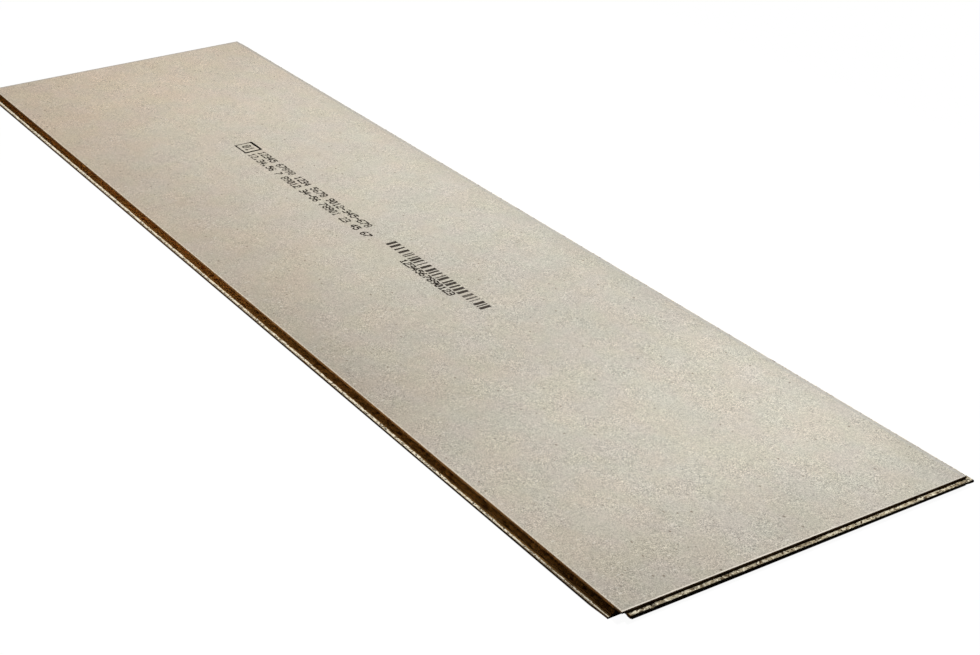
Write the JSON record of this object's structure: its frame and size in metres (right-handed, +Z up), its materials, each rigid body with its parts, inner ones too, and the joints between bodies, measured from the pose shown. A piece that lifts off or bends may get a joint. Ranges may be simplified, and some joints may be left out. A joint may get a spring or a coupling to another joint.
{
  "type": "chipboard floor panel",
  "caption": "Long flat chipboard floor panel with a tongue on two sides and a groove with a long lower lip on the other two, so panels lock edge to edge.",
  "frame": {"origin": "on the underside, in the middle of the panel's overall length and width", "axes": "+X along the length towards the tongue end, +Y across the width towards the tongue side, +Z up out of the walking face"},
  "size_m": [2.421, 0.621, 0.015],
  "materials": {
    "chipboard": "sanded, fine mottled chips, matte, with darker milled edges",
    "print_ink": "dark grey ink, partly faded"
  },
  "bodies": {
    "root": {"floor_panel": "chipboard"}
  },
  "joints": []
}
